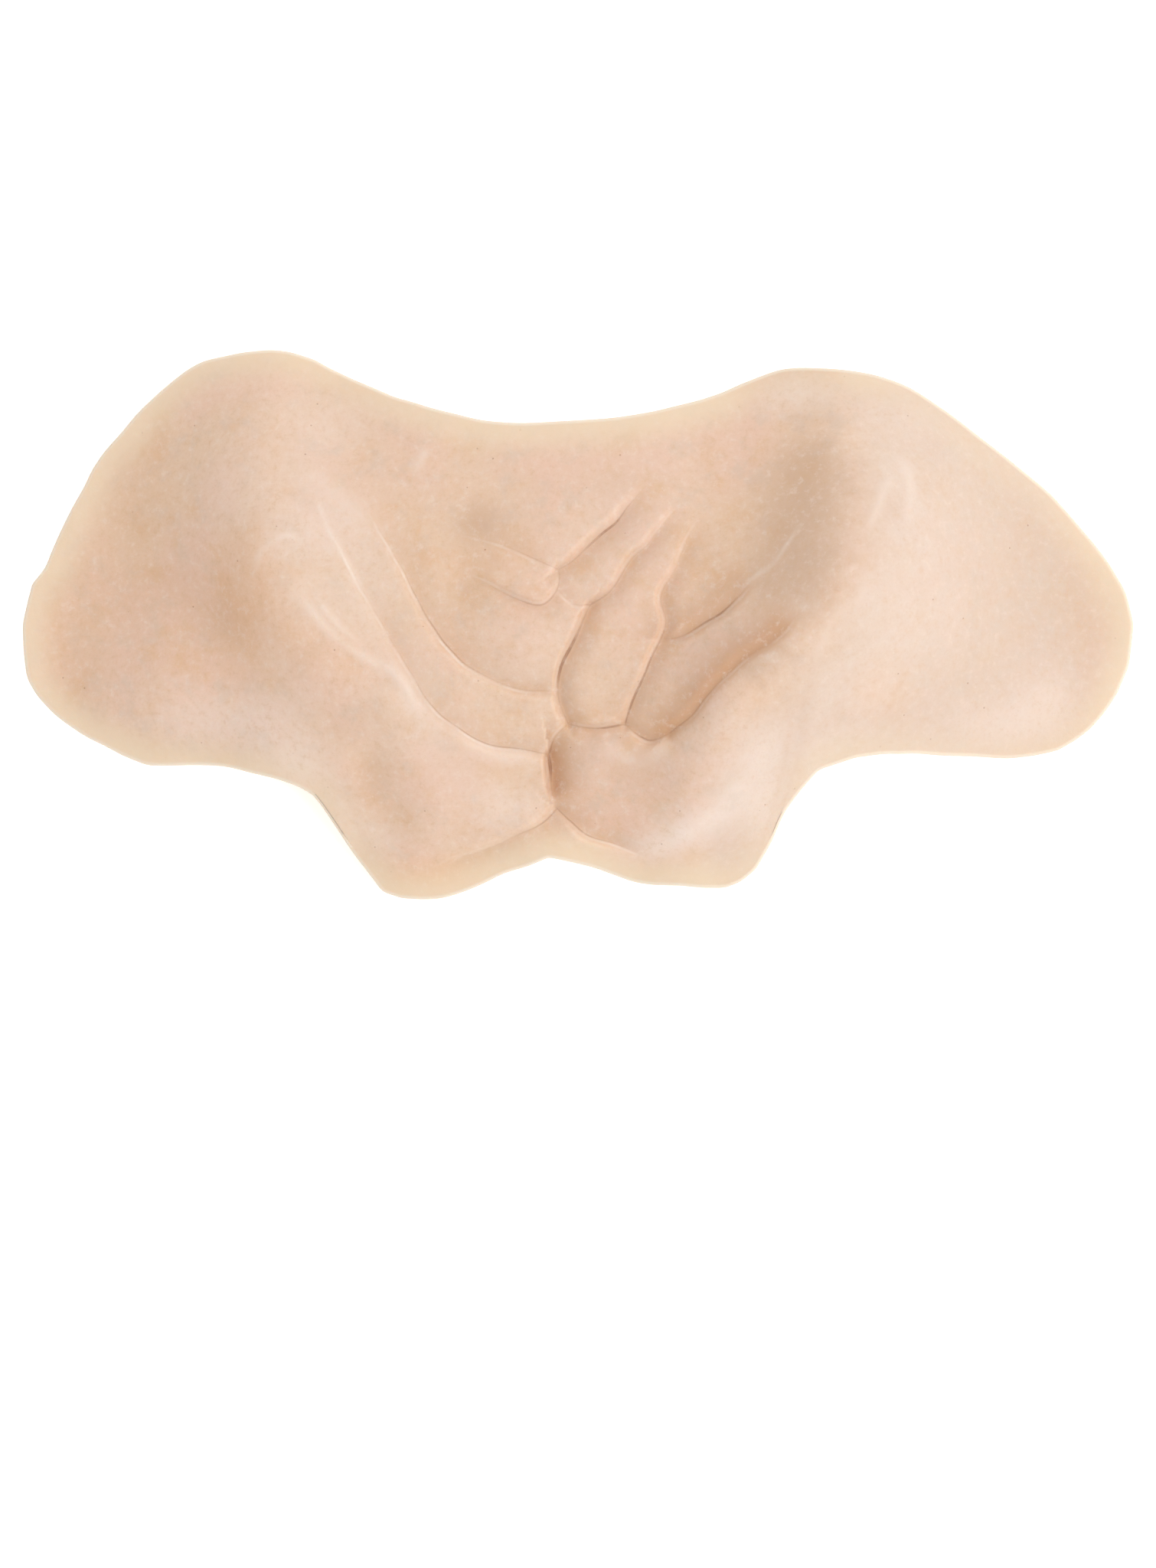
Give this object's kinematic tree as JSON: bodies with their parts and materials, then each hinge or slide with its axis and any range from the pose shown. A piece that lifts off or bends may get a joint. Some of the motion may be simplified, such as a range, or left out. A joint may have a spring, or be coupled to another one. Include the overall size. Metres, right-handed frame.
{
  "type": "prosthetic forehead",
  "caption": "Cast latex forehead piece with heavy scowling brows, frown folds between them and flat temple wings, worn over the wearer's own brow.",
  "frame": {"origin": "centre of the bounding box in X and Y, at the table it lies on", "axes": "+X to the right as seen from the front, +Y up the forehead, +Z out of the face"},
  "size_m": [0.1602, 0.079, 0.0268],
  "materials": {
    "latex_skin": "matte powdery painted latex, a little translucent at the thin rim"
  },
  "bodies": {
    "root": {"forehead": "latex_skin"}
  },
  "joints": []
}
